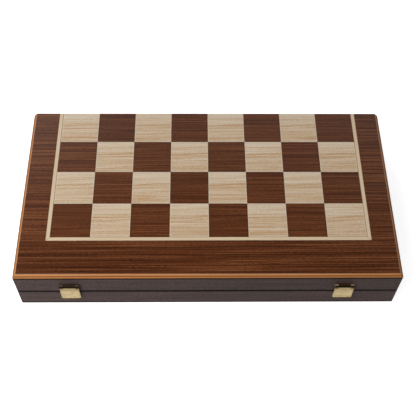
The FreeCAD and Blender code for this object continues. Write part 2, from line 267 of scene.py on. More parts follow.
# %% Grain in a finish
def grain_of(tree, position, seed, length, width, drift):
    """The four patterns at a position, for streaks of that length and width in metres."""
    return wired_group(tree, wood_grain, {"Position": position, "Seed": seed, "Length": length,
                                          "Width": width, "Drift": drift})


def grain_tone(tree, grain, start, weights):
    """A start value plus each named pattern of the grain times its weight."""
    tone = start
    for pattern, weight in weights.items():
        tone = sum_of(tree, "MULTIPLY_ADD", grain[pattern], weight, tone)
    return tone


print("patterns:", ", ".join(grain_patterns))

# %% [markdown]
# ## Which leaf of veneer is this?
#
# Sixteen squares share one node, yet each is a leaf of its own. The leaves could be split into objects
# with a material each. It is simpler to divide the position by the size of a leaf: the whole part says
# which leaf it is, and the fraction says where in the leaf. A random number from the whole part then
# gives every leaf its own tone, and the distance to the nearest edge gives a line along the cut.

# %% Group: leaf places
def make_leaf_group():
    """Fraction of (position - corner) / pitch, chances from its whole part, and a line along the cut."""
    tree, given, out = new_group(
        "leaf places",
        [("Position", "Vector", None), ("Corner", "Vector", None), ("Pitch", "Vector", None),
         ("Cut Width", "Float", 0.0012)],
        [("Along", "Float"), ("Across", "Float"), ("Chance", "Float"), ("Chances", "Color"),
         ("Cut", "Float")])
    leaf = vector_sum(tree, "DIVIDE", vector_sum(tree, "SUBTRACT", given["Position"], given["Corner"]),
                      given["Pitch"])
    number = vector_sum(tree, "FLOOR", leaf)
    place = vector_sum(tree, "SUBTRACT", leaf, number)
    in_leaf = add(tree, "SeparateXYZ", {"Vector": place}).outputs
    chance = add(tree, "TexWhiteNoise", {"Vector": number}, noise_dimensions="3D").outputs
    near = vector_sum(tree, "MINIMUM", place, vector_sum(tree, "SUBTRACT", (1.0, 1.0, 1.0), place))
    apart = add(tree, "SeparateXYZ", {"Vector": vector_sum(tree, "MULTIPLY", near, given["Pitch"])}).outputs
    edge = sum_of(tree, "MINIMUM", apart["X"], apart["Y"])
    cut = sum_of(tree, "SUBTRACT", 1.0, sum_of(tree, "DIVIDE", edge, given["Cut Width"]), clamp=True)
    results = {"Along": in_leaf["X"], "Across": in_leaf["Y"], "Chance": chance["Value"],
               "Chances": chance["Color"], "Cut": cut}
    for name, value in results.items():
        tree.links.new(value, out.inputs[name])
    return tree


def moved_by_chance(tree, position, leaf, reach):
    """Position, moved along X and Y by the chances of its leaf, up to a reach in metres."""
    return vector_sum(tree, "ADD", position, vector_sum(tree, "MULTIPLY", leaf["Chances"], (*reach, 0.0)))


leaf_places = make_leaf_group()
print("group:", leaf_places.name)

# %% [markdown]
# ## Worn edges with a painted highlight, and touch marks
#
# Hands polish the edges of brass, and leave faint marks on brass and varnish. On the brass the edges are
# also laid lighter as a painted highlight. Edges could be painted by hand. Here the Bevel node finds them:
# close to an edge it gives a tilted normal, and the difference from the true normal is a mask. Soft noise
# breaks the mask up, and more noise makes the touch marks.

# %% Group: worn edges with a painted highlight
# Each range is the part of a value that is stretched to 0 to 1.
edge_range = (0.01, 0.18)
break_range = (0.3, 0.6)
bevel_samples = 6


def soft_noise(tree, place, detail, scale=1.0):
    """Plain noise at a place, from 0 to 1."""
    return add(tree, "TexNoise", {"Vector": place, "Scale": scale, "Detail": detail}).outputs[0]


def in_units_of(tree, position, size):
    """Position divided by one size in all three directions."""
    sizes = add(tree, "CombineXYZ", {axis: size for axis in "XYZ"}).outputs[0]
    return vector_sum(tree, "DIVIDE", position, sizes)


def make_edge_group():
    """One minus the dot product of the bevelled and the true normal, broken up by noise."""
    tree, given, out = new_group(
        "worn highlit edges",
        [("Position", "Vector", None), ("Reach", "Float", 0.0006), ("Patch", "Float", 0.01)],
        [("Edge", "Float")])
    tilted = add(tree, "Bevel", {"Radius": given["Reach"]}, samples=bevel_samples).outputs[0]
    true = add(tree, "NewGeometry").outputs["Normal"]
    alike = add(tree, "VectorMath", {0: tilted, 1: true}, operation="DOT_PRODUCT").outputs["Value"]
    edge = spread(tree, sum_of(tree, "SUBTRACT", 1.0, alike), *edge_range)
    broken = soft_noise(tree, in_units_of(tree, given["Position"], given["Patch"]), detail=3.0)
    tree.links.new(sum_of(tree, "MULTIPLY", edge, spread(tree, broken, *break_range)), out.inputs["Edge"])
    return tree


worn_highlit_edges = make_edge_group()
print("group:", worn_highlit_edges.name)

# %% Group: touch marks
broad_range = (0.35, 0.65)
speck_range = (0.3, 0.7)
speck_scale = 14.0


def make_touch_group():
    """Two noises multiplied: broad patches where hands rest, and small specks within them."""
    tree, given, out = new_group(
        "touch marks",
        [("Position", "Vector", None), ("Size", "Float", 0.06)],
        [("Marks", "Float")])
    at = in_units_of(tree, given["Position"], given["Size"])
    broad = spread(tree, soft_noise(tree, at, detail=2.0), *broad_range)
    specks = spread(tree, soft_noise(tree, at, detail=3.0, scale=speck_scale), *speck_range)
    tree.links.new(sum_of(tree, "MULTIPLY", broad, specks), out.inputs["Marks"])
    return tree


touch_marks = make_touch_group()
print("group:", touch_marks.name)

# %% [markdown]
# ## The varnish on all woods
#
# The veneers have a thin satin varnish, and the plywood edge and the stained rails have a duller one. It
# could be a clear coat over the wood, but a coat mirrors too sharply for a lacquer that has sunk into the
# grain. So the wood's own shader carries it: a low specular level, a roughness that touch marks change a
# little, and a very shallow bump from the fibres.

# %% Start and end of a varnished wood
varnish_specular = 0.26
varnish_roughness = 0.22
dull_specular = 0.03
touch_roughness = 0.02
fibre_relief = 0.000015
relief_strength = 0.6


def start_material(name):
    """A new material, as (material, tree, Principled BSDF, position in metres)."""
    material = bpy.data.materials.new(name)
    material.use_nodes = True
    tree = material.node_tree
    shader = tree.nodes["Principled BSDF"]
    position = add(tree, "TexCoord").outputs["Object"]
    return material, tree, shader, position


def varnish(tree, shader, position, colour, relief,
            roughness=varnish_roughness, specular=varnish_specular):
    """Wires colour, satin roughness with touch marks, and a shallow bump to the shader."""
    marks = wired_group(tree, touch_marks, {"Position": position})["Marks"]
    rough = spread(tree, marks, 0.0, 1.0, roughness, roughness + touch_roughness)
    bump = add(tree, "Bump", {"Height": relief, "Distance": fibre_relief, "Strength": relief_strength})
    shader.inputs["Specular IOR Level"].default_value = specular
    tree.links.new(colour, shader.inputs["Base Color"])
    tree.links.new(rough, shader.inputs["Roughness"])
    tree.links.new(bump.outputs[0], shader.inputs["Normal"])


print("varnish ready")

# %% [markdown]
# ## Walnut: dark squares, border and inner ground
#
# The dark veneer is a straight-grained brown wood. Its lines run from left to right on every piece. One
# pattern over the whole lid would be simplest, but its lines would run on from square to square, as on a
# printed board. Each real square is cut from another place of the log. So a square's chance moves it
# through the grain, and each border strip has a seed of its own.

# %% Walnut finishes
walnut_tones = [(0.0, (0.026, 0.0060, 0.0016, 1.0)),
                (0.5, (0.095, 0.0262, 0.0070, 1.0)),
                (1.0, (0.205, 0.0720, 0.0270, 1.0))]
walnut_weights = {"Bands": 0.20, "Fibres": 0.98, "Flecks": 0.36}
walnut_centre = sum(walnut_weights.values()) / 2
walnut_pore = (0.030, 0.009, 0.003, 1.0)
walnut_pore_share = 0.45
walnut_cut_share = 0.45
square_lightness = 0.04
below_case = -veneer * 10
leaf_pitch = (square, square, closing_line)
leaf_corner = (field_corner.x, field_corner.y, below_case)


def walnut_colour(tree, position, seed, contrast, width, lightness):
    """Bands, fibres and flecks added up, read off a ramp of walnut tones, with dark pores laid over."""
    grain = grain_of(tree, position, seed, length=0.11, width=width, drift=0.0018)
    tone = grain_tone(tree, grain, -walnut_centre, walnut_weights)
    tone = sum_of(tree, "MULTIPLY_ADD", tone, contrast, 0.5)
    colour = ramp(tree, sum_of(tree, "ADD", tone, lightness), walnut_tones)
    return lay_where(tree, grain["Pores"], walnut_pore_share, colour, walnut_pore), grain["Fibres"]


def walnut_squares():
    """Dark leaves, each moved to its own place in the log, a little darker along the cut."""
    material, tree, shader, position = start_material("walnut_squares")
    leaf = wired_group(tree, leaf_places, {"Position": position, "Corner": leaf_corner, "Pitch": leaf_pitch})
    moved = moved_by_chance(tree, position, leaf, reach=(0.7, 0.5))
    lightness = spread(tree, leaf["Chance"], 0.0, 1.0, -square_lightness, square_lightness)
    colour, fibres = walnut_colour(tree, moved, seed=1.0, contrast=0.74, width=0.0036, lightness=lightness)
    colour = lay_where(tree, leaf["Cut"], walnut_cut_share, colour, walnut_pore)
    varnish(tree, shader, position, colour, fibres)
    return material


def walnut_strip(name, seed, lightness, contrast=0.94):
    """A border strip or the ground inside, in one piece."""
    material, tree, shader, position = start_material(name)
    colour, fibres = walnut_colour(tree, position, seed, contrast, width=0.0040, lightness=lightness)
    varnish(tree, shader, position, colour, fibres)
    return material


finishes = {
    "dark_squares": walnut_squares(),
    "front_border": walnut_strip("walnut_front_border", seed=4.0, lightness=0.005, contrast=1.06),
    "left_border": walnut_strip("walnut_left_border", seed=7.0, lightness=0.07),
    "right_border": walnut_strip("walnut_right_border", seed=11.0, lightness=0.0),
    "field_ground": walnut_strip("walnut_ground", seed=15.0, lightness=-0.02, contrast=0.8),
}
print("walnut:", ", ".join(finishes))

# %% [markdown]
# ## Oak: light squares, string and light points
#
# The pale veneer is cut in sequence, so its squares show nearly the same figure: a pale rear part, a tan
# line before the middle, and a few weaker ones. Noise alone could draw such lines, but then every leaf
# would have others. So a ramp across the leaf draws the common figure, wobbled by slow noise so that no
# two leaves are quite the same, and the shared grain adds the fine lines. The string is let in beside the
# squares, and glue shows as a brown line along its inner edge and across its mitres.

# %% Oak squares
oak_pale = (0.656, 0.554, 0.427, 1.0)
oak_tan = (0.416, 0.214, 0.067, 1.0)
oak_cut = (0.66, 0.57, 0.45, 1.0)
oak_cut_width = 0.0018
oak_cut_share = 0.7
leaf_figure = [(place, grey(tan)) for place, tan in (
    (0.00, 0.42), (0.14, 0.72), (0.20, 0.42), (0.30, 0.60), (0.42, 0.36), (0.49, 0.74), (0.545, 0.40),
    (0.585, 1.0), (0.63, 0.36), (0.72, 0.20), (0.81, 0.46), (0.87, 0.12), (1.00, 0.18))]
figure_share = 0.70
figure_slope = 0.05
figure_wobble = 0.020
wobble_range = (0.25, 0.75)
wobble_stretch = (22.0, 30.0, 0.0)
line_weights = {"Fibres": 0.64, "Flecks": 0.36}
line_low = -0.62
line_high = 0.78


def oak_squares():
    """Pale leaves with one common figure across the grain, paler along the cut."""
    material, tree, shader, position = start_material("oak_squares")
    leaf = wired_group(tree, leaf_places, {"Position": position, "Corner": leaf_corner, "Pitch": leaf_pitch,
                                           "Cut Width": oak_cut_width})
    moved = moved_by_chance(tree, position, leaf, reach=(0.9, 0.6))
    wobble = soft_noise(tree, vector_sum(tree, "MULTIPLY", moved, wobble_stretch), detail=1.0)
    slope = sum_of(tree, "MULTIPLY_ADD", leaf["Along"], -figure_slope, figure_slope / 2)
    across = sum_of(tree, "ADD", sum_of(tree, "ADD", leaf["Across"], slope),
                    spread(tree, wobble, *wobble_range, -figure_wobble, figure_wobble))
    figure = sum_of(tree, "MULTIPLY", ramp(tree, across, leaf_figure), figure_share)
    grain = grain_of(tree, moved, seed=21.0, length=0.08, width=0.0025, drift=0.002)
    lines = spread(tree, grain_tone(tree, grain, 0.0, line_weights), 0.0, 1.0, line_low, line_high)
    colour = lay_over(tree, sum_of(tree, "ADD", figure, lines, clamp=True), oak_pale, oak_tan)
    colour = lay_where(tree, leaf["Cut"], oak_cut_share, colour, oak_cut)
    varnish(tree, shader, position, colour, grain["Fibres"])
    return material


finishes["light_squares"] = oak_squares()
print("oak squares,", len(leaf_figure), "stops in their figure")

# %% Glue beside the string
base_low, base_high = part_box("base_light_squares")
lid_middle = (squares_low.x + squares_high.x) / 2
base_middle = (base_low.x + base_high.x) / 2
half_field = columns * square / 2
near_closing = 0.001
# Glue: the distances in metres between which it fades, and its share before and after.
inner_glue = (0.0004, 0.0009, 0.9, 0.0)
mitre_glue = (0.0003, 0.0007, 0.5, 0.0)


def by_tray(tree, z, on_base, on_lid):
    """One value below the closing line and another one above it."""
    return spread(tree, z, closing_line - near_closing, closing_line + near_closing, on_base, on_lid)


def string_glue(tree, position):
    """Glue where the larger of |x - middle| - half field and front - y is small, or where both are equal."""
    at = add(tree, "SeparateXYZ", {"Vector": position}).outputs
    middle = by_tray(tree, at["Z"], base_middle, lid_middle)
    from_middle = sum_of(tree, "ABSOLUTE", sum_of(tree, "SUBTRACT", at["X"], middle))
    beside = sum_of(tree, "SUBTRACT", from_middle, half_field)
    before = sum_of(tree, "SUBTRACT", field_corner.y, at["Y"])
    inner_edge = spread(tree, sum_of(tree, "MAXIMUM", beside, before), *inner_glue)
    from_mitre = sum_of(tree, "ABSOLUTE", sum_of(tree, "SUBTRACT", beside, before))
    mitre = spread(tree, from_mitre, *mitre_glue)
    return sum_of(tree, "MAXIMUM", inner_edge, mitre)


print(f"string round {2000 * half_field:.1f} mm of squares")

# %% Oak string and points
string_pale = (0.672, 0.541, 0.379, 1.0)
glue_brown = (0.260, 0.150, 0.070, 1.0)
half_and_half = {"Bands": 0.5, "Fibres": 0.5}


def along_piece(tree, position, turned):
    """Position with X along the piece: as it is, or turned by a right angle."""
    angle = math.pi / 2 if turned else 0.0
    return add(tree, "Mapping", {"Vector": position, "Rotation": (0.0, 0.0, angle)}).outputs[0]


def oak_strip(name, seed, turned, pale, contrast, let_in=False):
    """A narrow string, or the light points, with the grain along X or, if turned, along Y."""
    material, tree, shader, position = start_material(name)
    along = along_piece(tree, position, turned)
    grain = grain_of(tree, along, seed, length=0.08, width=0.0030, drift=0.002)
    colour = lay_where(tree, grain_tone(tree, grain, 0.0, half_and_half), contrast, pale, oak_tan)
    if let_in:
        colour = lay_over(tree, string_glue(tree, position), colour, glue_brown)
    varnish(tree, shader, position, colour, grain["Fibres"])
    return material


string_looks = {"pale": string_pale, "contrast": 0.30, "let_in": True}
finishes["front_string"] = oak_strip("oak_front_string", seed=31.0, turned=False, **string_looks)
finishes["left_string"] = oak_strip("oak_side_strings", seed=33.0, turned=True, **string_looks)
finishes["right_string"] = finishes["left_string"]
finishes["light_points"] = oak_strip("oak_points", seed=37.0, turned=False, pale=oak_pale, contrast=0.9)
print("oak strings and points")

# %% [markdown]
# ## Mahogany: dark points
#
# Inside, the second colour of the points is a redder wood than the ground. It could be walnut with a red
# tint, but its tones differ from dark to light. So it uses the same grain on a warmer ramp, and each
# point takes its own shift from the leaf group, with a leaf as wide as a point.

# %% Mahogany finish
mahogany_tones = [(0.10, (0.150, 0.030, 0.012, 1.0)),
                  (0.55, (0.245, 0.062, 0.026, 1.0)),
                  (0.95, (0.340, 0.108, 0.050, 1.0))]
mahogany_pore = (0.070, 0.014, 0.006, 1.0)
mahogany_pore_share = 0.4
# A point's leaf is one pitch wide and ends at the middle of the case.
point_leaf = (1.0, point_pitch, closing_line)
point_corner = (-1.0, ground_low.y, below_case)


def mahogany_points():
    """Reddish leaves; a point's number gives its own place in the grain."""
    material, tree, shader, position = start_material("mahogany_points")
    leaf = wired_group(tree, leaf_places, {"Position": position, "Corner": point_corner,
                                           "Pitch": point_leaf})
    moved = moved_by_chance(tree, position, leaf, reach=(0.6, 0.6))
    grain = grain_of(tree, moved, seed=41.0, length=0.12, width=0.0045, drift=0.003)
    colour = ramp(tree, grain_tone(tree, grain, 0.0, half_and_half), mahogany_tones)
    colour = lay_where(tree, grain["Pores"], mahogany_pore_share, colour, mahogany_pore)
    varnish(tree, shader, position, colour, grain["Fibres"])
    return material


finishes["dark_points"] = mahogany_points()
print("mahogany points")

# %% [markdown]
# ## Plywood: the bevelled panel
#
# The bevel cuts through three plies, so the edge shows a dark stripe between two orange ones, and a thin
# brown line where the rails' stain has crept up. The plies could be three solids. They are only colours
# on one sheet, so the stripe is read from the depth below the outer face, which is the same on both trays
# when it is counted from the closing line.

# %% Plywood finish
outer_ply = (0.555, 0.262, 0.106, 1.0)
under_face = (0.350, 0.142, 0.048, 1.0)
core_ply = (0.180, 0.062, 0.015, 1.0)
inner_ply = (0.450, 0.182, 0.057, 1.0)
crept_stain = (0.100, 0.042, 0.018, 1.0)
ply_fibre = (0.210, 0.080, 0.028, 1.0)
plies = [(0.24, outer_ply), (0.38, under_face), (0.48, under_face), (0.54, core_ply),
         (0.64, core_ply), (0.70, inner_ply), (0.92, inner_ply), (0.99, crept_stain)]
ply_unevenness = 0.03
ply_fibre_share = 0.35
ply_roughness = 0.60


def from_closing(tree, z):
    """Distance from the closing line, up or down."""
    return sum_of(tree, "ABSOLUTE", sum_of(tree, "SUBTRACT", z, closing_line))


def plywood():
    """Depth below the outer face, from closing_line - |z - closing_line|, read off a ramp of plies."""
    material, tree, shader, position = start_material("plywood_panel")
    z = add(tree, "SeparateXYZ", {"Vector": position}).outputs["Z"]
    depth = sum_of(tree, "SUBTRACT", sum_of(tree, "SUBTRACT", closing_line, from_closing(tree, z)), veneer)
    grain = grain_of(tree, position, seed=51.0, length=0.05, width=0.0030, drift=0.001)
    uneven = spread(tree, grain["Bands"], 0.0, 1.0, -ply_unevenness, ply_unevenness)
    colour = ramp(tree, sum_of(tree, "ADD", sum_of(tree, "DIVIDE", depth, ply), uneven), plies)
    colour = lay_where(tree, grain["Fibres"], ply_fibre_share, colour, ply_fibre)
    varnish(tree, shader, position, colour, grain["Fibres"], ply_roughness, dull_specular)
    return material


finishes["panel"] = plywood()
print("plywood panel")

# %% [markdown]
# ## Stained rails
#
# The sides are stained nearly black brown, with a quiet grain along each rail. The lid's rails are painted
# a little darker than the base's, as shade: the base's rails get more light from the floor. The eased rims
# where the trays meet are painted nearly black as the shade in the joint, most on the base, so the joint
# shows as a black line, and the corner under the panel is painted dark as its shade. These lines could be
# thin strips of their own, but they have no thickness, so the height in the case gives them. The front and
# back rails run along X. The side rails use the same finish on coordinates turned by a right angle.

# %% Rail finishes
stain_tones = [(0.05, (0.026, 0.0168, 0.0155, 1.0)),
               (0.50, (0.060, 0.0400, 0.0370, 1.0)),
               (0.95, (0.110, 0.0760, 0.0720, 1.0))]
stain_pore = (0.020, 0.0125, 0.011, 1.0)
painted_shade_black = (0.004, 0.0020, 0.0012, 1.0)
stain_pore_share = 0.5
rail_roughness = 0.48
stain_weights = {"Bands": 0.20, "Fibres": 0.42, "Flecks": 0.86}
# Painted shade: the lid's rails start darker than the base's, whose rails get more light from the floor.
base_tone = -0.16
shaded_lid_tone = -0.26
# Painted shade in the joint between the trays: how far it reaches on the lid and on the base.
lid_rim = 0.0005
base_rim = 0.0032
rim_fade = 0.0004
rim_gap = closing_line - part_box("base_front_rail")[1].z
flat_fade = 0.0001
flat_share = 0.4
rail_height = closing_line - panel_high.z
# Painted shade in the corner under the panel: where it starts and where it is full.
shade_under_panel_start = 0.0037
shade_under_panel_full = 0.0024


def painted_joint_shade(tree, z):
    """A mask of painted shade, full on both rims and under the panel, and weaker on the flats that meet."""
    below_lid_edge = spread(tree, z, closing_line + lid_rim, closing_line + lid_rim + rim_fade, 1.0, 0.0)
    above_base_edge = spread(tree, z, closing_line - base_rim - rim_fade, closing_line - base_rim)
    height = from_closing(tree, z)
    off_flats = spread(tree, height, rim_gap, rim_gap + flat_fade, flat_share, 1.0)
    on_rims = sum_of(tree, "MULTIPLY", sum_of(tree, "MULTIPLY", below_lid_edge, above_base_edge), off_flats)
    corner = spread(tree, height, rail_height - shade_under_panel_start, rail_height - shade_under_panel_full)
    return sum_of(tree, "MAXIMUM", on_rims, corner)


def stained_rail(name, turned):
    """Dark stain over grain along the rail, with painted shade nearly black on the rims that meet and under
    the panel.
    """
    material, tree, shader, position = start_material(name)
    z = add(tree, "SeparateXYZ", {"Vector": position}).outputs["Z"]
    along = along_piece(tree, position, turned)
    grain = grain_of(tree, along, seed=61.0, length=0.06, width=0.0026, drift=0.002)
    tone = grain_tone(tree, grain, by_tray(tree, z, base_tone, shaded_lid_tone), stain_weights)
    colour = lay_where(tree, grain["Pores"], stain_pore_share, ramp(tree, tone, stain_tones), stain_pore)
    # Painted shade, nearly black, on the rims that meet and under the panel.
    colour = lay_over(tree, painted_joint_shade(tree, z), colour, painted_shade_black)
    varnish(tree, shader, position, colour, grain["Fibres"], rail_roughness, dull_specular)
    return material


finishes["front_rail"] = stained_rail("stained_long_rails", turned=False)
finishes["back_rail"] = finishes["front_rail"]
finishes["left_rail"] = stained_rail("stained_side_rails", turned=True)
finishes["right_rail"] = finishes["left_rail"]
print("stained rails")

# %% [markdown]
# ## Brass
#
# Latches and hinges are pressed from sheet brass, lightly brushed and then lacquered. One plain metal
# colour would look like plastic, so the brushing is a fine noise drawn out along the sheet. Edges are
# lighter where they are touched and as a painted highlight, and the flats carry a faint brown tarnish, so
# colour and roughness both change over the sheet. The rolls of a latch are seldom touched. They are
# painted dull: brown behind, as tarnish with a painted dim reflection, and black in front, as painted shade
# above the flap. The right plate's knuckles are painted lighter than the left one's, as they catch more
# light. Beside the bend a deeper gold is painted as a dim reflection, in a band that hangs lower at the two
# corners.

# %% Painted shade and dim reflection on the rolls of the latches
# Painted shade: black on the front of the rolls, above the flap.
roll_shade_black = (0.006, 0.003, 0.001, 1.0)
# Painted dim reflection: a deeper gold band near the bend, hanging lower at the corners.
bend_reflection_gold = (0.210, 0.138, 0.044, 1.0)
band_low = -0.0080
band_high = -0.0060
band_share = 0.7
band_hang = 0.0035
roll_low = -0.0006
roll_high = 0.0001
roll_front = -0.0014
roll_back = 0.0010
pin_low, pin_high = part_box("left_latch_pin")
pin = (pin_low + pin_high) / 2
right_low, right_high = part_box("right_latch_pin")
between_pins = (right_low.x + right_high.x) / 2 - pin.x
half_latch = (pin_high.x - pin_low.x) / 2


def paint_rolls_shade(tree, position, colour, roll):
    """Colour with the painted gold band and the painted rolls laid over, by the place round the pin, and the
    rolls' mask.
    """
    from_pin = add(tree, "SeparateXYZ", {"Vector": vector_sum(tree, "SUBTRACT", position, pin)}).outputs
    from_left = sum_of(tree, "ABSOLUTE", from_pin["X"])
    from_right = sum_of(tree, "ABSOLUTE", sum_of(tree, "SUBTRACT", from_pin["X"], between_pins))
    sideways = sum_of(tree, "DIVIDE", sum_of(tree, "MINIMUM", from_left, from_right), half_latch)
    hanging = sum_of(tree, "MULTIPLY", sum_of(tree, "POWER", sideways, 2.0), band_hang)
    band = spread(tree, sum_of(tree, "ADD", from_pin["Z"], hanging), band_low, band_high, 0.0, band_share)
    behind = spread(tree, from_pin["Y"], roll_front, roll_back)
    dull = spread(tree, from_pin["Z"], roll_low, roll_high)
    # Painted dim reflection: the deeper gold band near the bend.
    colour = lay_over(tree, band, colour, bend_reflection_gold)
    # The rolls: painted shade in front, and behind a brown of tarnish with a painted dim reflection.
    return lay_over(tree, dull, colour, lay_over(tree, behind, roll_shade_black, roll)), dull


print(f"latch pins {between_pins * 1000:.1f} mm apart")

# %% Brass finishes
brass_lacquered = (0.400, 0.305, 0.146, 1.0)
brass_tarnished = (0.270, 0.180, 0.072, 1.0)
brass_rubbed_highlight = (0.540, 0.450, 0.260, 1.0)
flap_roll = (0.080, 0.042, 0.018, 1.0)
# Painted light: the right plate's knuckles lighter and the left one's darker, as light falls on them.
shaded_left_plate_roll = (0.221, 0.124, 0.081, 1.0)
lit_right_plate_roll = (0.560, 0.335, 0.190, 1.0)
roll_specular = 0.05
brush_lines = (90.0, 2600.0, 2600.0)
brush_range = (0.3, 0.7)
brush_relief = 0.00001
brush_strength = 0.4
smoother = 0.05
rougher = 0.08
mark_roughness = 0.12
rubbed_highlight_share = 0.5


def brass(name, roughness, tarnish, roll=None):
    """Brushed metal: fine lines along X, edges rubbed and with a painted highlight, brown patches, and
    painted shade and dim reflection on a latch's rolls.
    """
    material, tree, shader, position = start_material(name)
    lines = soft_noise(tree, vector_sum(tree, "MULTIPLY", position, brush_lines), detail=2.0)
    marks = wired_group(tree, touch_marks, {"Position": position, "Size": 0.008})["Marks"]
    edge = wired_group(tree, worn_highlit_edges, {"Position": position, "Reach": 0.0005, "Patch": 0.004})["Edge"]
    colour = lay_where(tree, marks, tarnish, brass_lacquered, brass_tarnished)
    # Edges laid lighter: rubbed brass and a painted highlight.
    colour = lay_where(tree, edge, rubbed_highlight_share, colour, brass_rubbed_highlight)
    shader.inputs["Metallic"].default_value = 1.0
    if roll:
        colour, dull = paint_rolls_shade(tree, position, colour, roll)
        tree.links.new(sum_of(tree, "SUBTRACT", 1.0, dull), shader.inputs["Metallic"])
        shader.inputs["Specular IOR Level"].default_value = roll_specular
    brushed = spread(tree, lines, *brush_range, roughness - smoother, roughness + rougher)
    rough = sum_of(tree, "MULTIPLY_ADD", marks, mark_roughness, brushed)
    bump = add(tree, "Bump", {"Height": lines, "Distance": brush_relief, "Strength": brush_strength})
    tree.links.new(colour, shader.inputs["Base Color"])
    tree.links.new(rough, shader.inputs["Roughness"])
    tree.links.new(bump.outputs[0], shader.inputs["Normal"])
    return material


flap_brass = brass("flap_brass", roughness=0.24, tarnish=1.2, roll=flap_roll)
# A shaded and a lit copy of one brass, which differ only on their rolls.
shaded_left_latch_brass = brass("shaded_left_latch_brass", roughness=0.30, tarnish=0.9, roll=shaded_left_plate_roll)
lit_right_latch_brass = brass("lit_right_latch_brass", roughness=0.30, tarnish=0.9, roll=lit_right_plate_roll)
hinge_brass = brass("hinge_brass", roughness=0.34, tarnish=0.6)
screw_brass = brass("screw_brass", roughness=0.28, tarnish=0.7)
print("brass for latches, hinges and screws")

# %% [markdown]
# ## Putting the finishes on
#
# A wooden node is named for its tray and its piece, as in lid_front_rail. A list of all fifty names would
# do, but it would be long. So the part of the name after the tray picks the finish, and a brass node's
# name says which latch or hinge it belongs to.

# %% Assign a finish to every node
def finish_for(name):
    """The material of a node, by its name."""
    tray, _, piece = name.partition("_")
    if tray in ("base", "lid") and piece in finishes:
        return finishes[piece]
    if "hinge" in name:
        return hinge_brass
    if name.endswith("flap"):
        return flap_brass
    return lit_right_latch_brass if name.startswith("right") else shaded_left_latch_brass


for name, node in nodes.items():
    for slot in node.material_slots:
        slot.material = finish_for(name)
print(len(nodes), "nodes finished")

# %% [markdown]
# ## Slotted screw heads
#
# The solids have plain heads, but a real head has a slot. A slot could be cut with a Boolean, at the
# price of untidy faces. Here the head is one surface of two parameters. Rows lie across the slot at
# y = R sin(t), and along a row x runs from -1 to 1 times the half chord, the square root of R squared
# minus y squared. So the slot is a band of rows that are pushed down, and it stays exactly straight.

# %% A screw head as a surface of two parameters
head_rows = 29
head_columns = 15
wall_share = 0.06
wall_margin = 0.9


def head_surface(rim, foot, height, crown, slot_width, slot_depth):
    """Points of one head, foot at z = 0, as an array of rows by columns by 3.

    Row y = rim sin(t); column x = u times the half chord. The top is height + crown (1 - r^2 / rim^2),
    less slot_depth where |y| is under half of slot_width. The first and last column lie on the foot.
    """
    wall = slot_width * wall_share
    half = slot_width / 2
    lines = np.concatenate([rim * np.sin(np.linspace(-np.pi / 2, np.pi / 2, head_rows)),
                            [-half - wall, -half + wall, half - wall, half + wall]])
    # A row just outside the slot would blunt its wall, so only the wall's own upper edge stays there.
    y = np.unique(lines[(np.abs(lines) > half + wall * wall_margin) | (np.abs(lines) < half)])[:, None]
    u = np.sin(np.linspace(-np.pi / 2, np.pi / 2, head_columns))[None, :]
    x = u * np.sqrt(np.maximum(rim ** 2 - y ** 2, 0))
    top = height + crown * (1 - (x ** 2 + y ** 2) / rim ** 2)
    top = top - slot_depth * (np.abs(y) < half)
    upper = np.stack([x, np.broadcast_to(y, x.shape), top], axis=-1)
    foot_points = upper[:, [0, -1]] * np.array([foot / rim, foot / rim, 0.0])
    return np.concatenate([foot_points[:, :1], upper, foot_points[:, 1:]], axis=1)


def grid_faces(rows, columns):
    """Quads of a grid whose last column joins its first, so that each row is a closed loop."""
    index = np.arange(rows * columns).reshape(rows, columns)
    turned = np.roll(index, -1, axis=1)
    return np.stack([index[:-1], turned[:-1], turned[1:], index[1:]], axis=-1).reshape(-1, 4)


print("one head:", head_rows, "rows before the slot,", head_columns, "columns")

# %% [markdown]
# ## Screws in their places
#
# The screws of a tray's latches or hinges share one solid node. Their places could be copied from the
# model's source, but they are already in the node's mesh: sorted by x, its points fall into one cluster
# for each head. Every head gets a slot angle of its own, as a screwdriver leaves it, from a seeded random
# number, so each run gives the same case.

# %% Places and mesh of the heads
gap_between_heads = 0.003
merge_distance = 1e-7


def head_places(node):
    """The boxes of the separate heads in a node, split where their x values leave a gap."""
    places = np.empty(len(node.data.vertices) * 3, np.float32)
    node.data.vertices.foreach_get("co", places)
    places = places.reshape(-1, 3)
    places = places[np.argsort(places[:, 0])]
    gaps = np.flatnonzero(np.diff(places[:, 0]) > gap_between_heads) + 1
    return [(part.min(0), part.max(0)) for part in np.split(places, gaps)]


def joined_mesh(name, points, faces):
    """A mesh of all heads, with doubled points merged and its faces turned outwards."""
    mesh = bpy.data.meshes.new(name)
    mesh.from_pydata(np.concatenate(points).tolist(), [], np.concatenate(faces).tolist())
    shell = bmesh.new()
    shell.from_mesh(mesh)
    bmesh.ops.remove_doubles(shell, verts=shell.verts, dist=merge_distance)
    bmesh.ops.recalc_face_normals(shell, faces=shell.faces)
    shell.to_mesh(mesh)
    shell.free()
    return mesh


print(len(head_places(nodes["lid_latch_screws"])), "latch screws in the lid")

# %% Screw heads on the model
rng = np.random.default_rng(5)
slot_width_share = 0.34
slot_depth_share = 0.45


